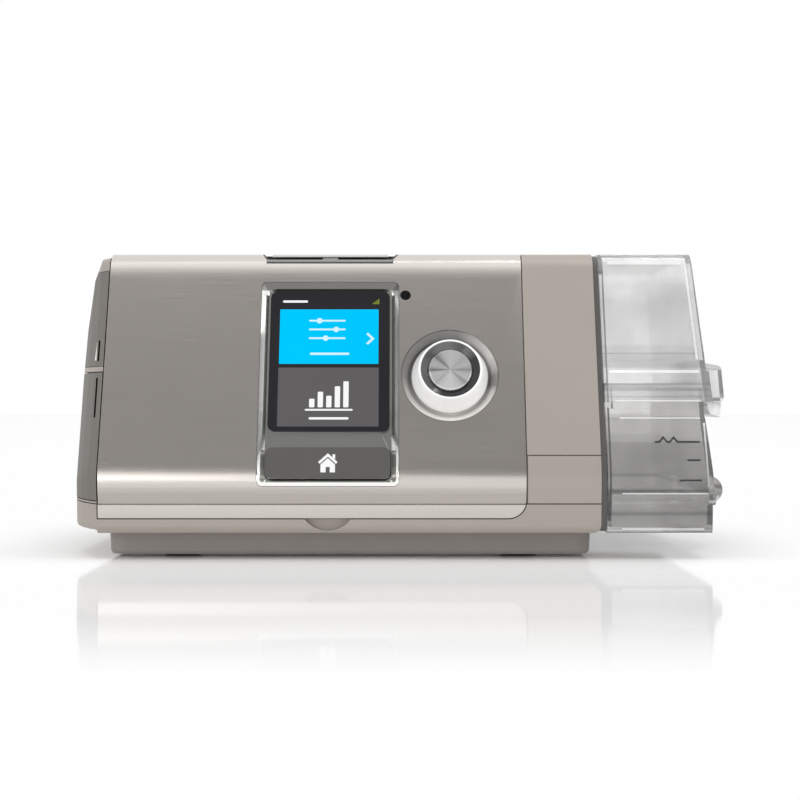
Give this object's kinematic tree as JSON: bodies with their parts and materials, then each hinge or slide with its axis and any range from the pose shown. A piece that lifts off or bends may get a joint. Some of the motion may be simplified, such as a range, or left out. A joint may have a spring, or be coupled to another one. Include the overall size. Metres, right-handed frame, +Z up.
{
  "type": "bilevel PAP machine",
  "caption": "Bedside bilevel breathing machine: slanted face with colour screen, home key and press-and-turn dial, start bar on top, and a clear slide-out water tub at its right.",
  "frame": {"origin": "on the floor plane, under the middle of the whole machine's box", "axes": "+X to the right as seen from the front, towards the water tub; +Y to the back, where the air outlet points; +Z up"},
  "size_m": [0.255, 0.15, 0.116],
  "materials": {
    "housing": "satin moulded",
    "fascia": "fine brushed satin",
    "dark_plastic": "satin moulded",
    "bezel_plastic": "semi-gloss",
    "screen_glass": "polished",
    "lit_screen": "lit",
    "black_plastic": "satin",
    "silver_plastic": "silver satin",
    "spun_metal": "spun",
    "bright_metal": "brushed",
    "contact_brass": "bright",
    "green_board": "solder mask",
    "rubber_black": "matte",
    "silicone_grey": "matte",
    "foam_grey": "open foam",
    "filter_white": "fibrous",
    "clear_plastic": "clear moulded"
  },
  "bodies": {
    "main_unit": {"upper_housing": "housing", "lower_housing": "housing", "outlet_surround": "housing", "front_fascia": "fascia", "plinth": "dark_plastic", "rubber_feet": "rubber_black", "label_strip": "housing", "adapter_cover": "dark_plastic", "screen_bezel": "bezel_plastic", "screen_lens": "screen_glass", "lcd_module": "lit_screen", "start_trim": "bezel_plastic", "sensor_window": "black_plastic", "dial_seat": "fascia", "dial_encoder": "black_plastic", "display_board": "green_board", "button_board": "green_board", "tact_switches": "bright_metal", "main_board": "green_board", "chassis": "dark_plastic", "housing_screws": "bright_metal", "volute_base": "dark_plastic", "volute_cover": "dark_plastic", "blower_motor": "bright_metal", "blower_mount": "silicone_grey", "inlet_muffler": "foam_grey", "air_filter": "filter_white", "delivery_duct": "dark_plastic", "flow_sensor": "black_plastic", "docking_seal": "silicone_grey", "outlet_duct": "dark_plastic", "air_outlet": "dark_plastic", "dc_inlet": "black_plastic", "dc_pin": "contact_brass", "adapter_socket": "black_plastic", "sd_board": "green_board", "sd_socket": "bright_metal", "sd_card": "black_plastic", "bay_liner": "bezel_plastic", "heater_plate": "bright_metal", "heater_pad": "silicone_grey"},
    "water_tub": {"tub_base": "clear_plastic", "tub_lid": "clear_plastic", "tub_latch": "clear_plastic", "tub_seal": "silicone_grey", "tub_plate": "bright_metal"},
    "dial_press_body": {"dial_plunger": "dark_plastic"},
    "dial": {"dial_knob": "silver_plastic", "dial_insert": "black_plastic", "dial_cap": "spun_metal", "encoder_shaft": "bright_metal"},
    "home_key": {"home_button": "bezel_plastic"},
    "start_bar": {"start_button": "bezel_plastic"},
    "card_door": {"sd_door": "dark_plastic"},
    "filter_cover": {"filter_door": "dark_plastic"},
    "plug_clip": {"retention_clip": "dark_plastic"},
    "rotor": {"impeller": "clear_plastic", "motor_shaft": "bright_metal"}
  },
  "joints": [
    {"name": "tub_slide", "type": "slide", "parent": "main_unit", "child": "water_tub", "axis": [1, 0, 0], "range_m": [0, 0.05]},
    {"name": "dial_press", "type": "slide", "parent": "main_unit", "child": "dial_press_body", "axis": [0, 0.9397, -0.342], "range_m": [0, 0.0006], "stiffness_N_per_m": 600, "springref_m": -0.0005},
    {"name": "dial_turn", "type": "hinge", "parent": "dial_press_body", "child": "dial", "pos_m": [0.0185, -0.06205, 0.0686], "axis": [0, -0.9397, 0.342], "continuous": true},
    {"name": "home_press", "type": "slide", "parent": "main_unit", "child": "home_key", "axis": [0, 0.9397, -0.342], "range_m": [0, 0.0004], "stiffness_N_per_m": 400, "springref_m": -0.0005},
    {"name": "start_press", "type": "slide", "parent": "main_unit", "child": "start_bar", "axis": [0, 0, -1], "range_m": [0, 0.0008], "stiffness_N_per_m": 400, "springref_m": -0.0005},
    {"name": "card_door_hinge", "type": "hinge", "parent": "main_unit", "child": "card_door", "pos_m": [-0.12571, 0.0113, 0.022], "axis": [-0.0345, 0, -0.9994], "range_deg": [0, 80]},
    {"name": "filter_door_hinge", "type": "hinge", "parent": "main_unit", "child": "filter_cover", "pos_m": [-0.0947, 0.0627, 0.078], "axis": [0, 0, 1], "range_deg": [0, 90]},
    {"name": "plug_clip_hinge", "type": "hinge", "parent": "main_unit", "child": "plug_clip", "pos_m": [-0.075, 0.0628, 0.0474], "axis": [1, 0, 0], "range_deg": [0, 90]},
    {"name": "blower_spin", "type": "hinge", "parent": "main_unit", "child": "rotor", "pos_m": [-0.055, 0.0135, 0.082], "axis": [0, 0, 1], "continuous": true}
  ]
}
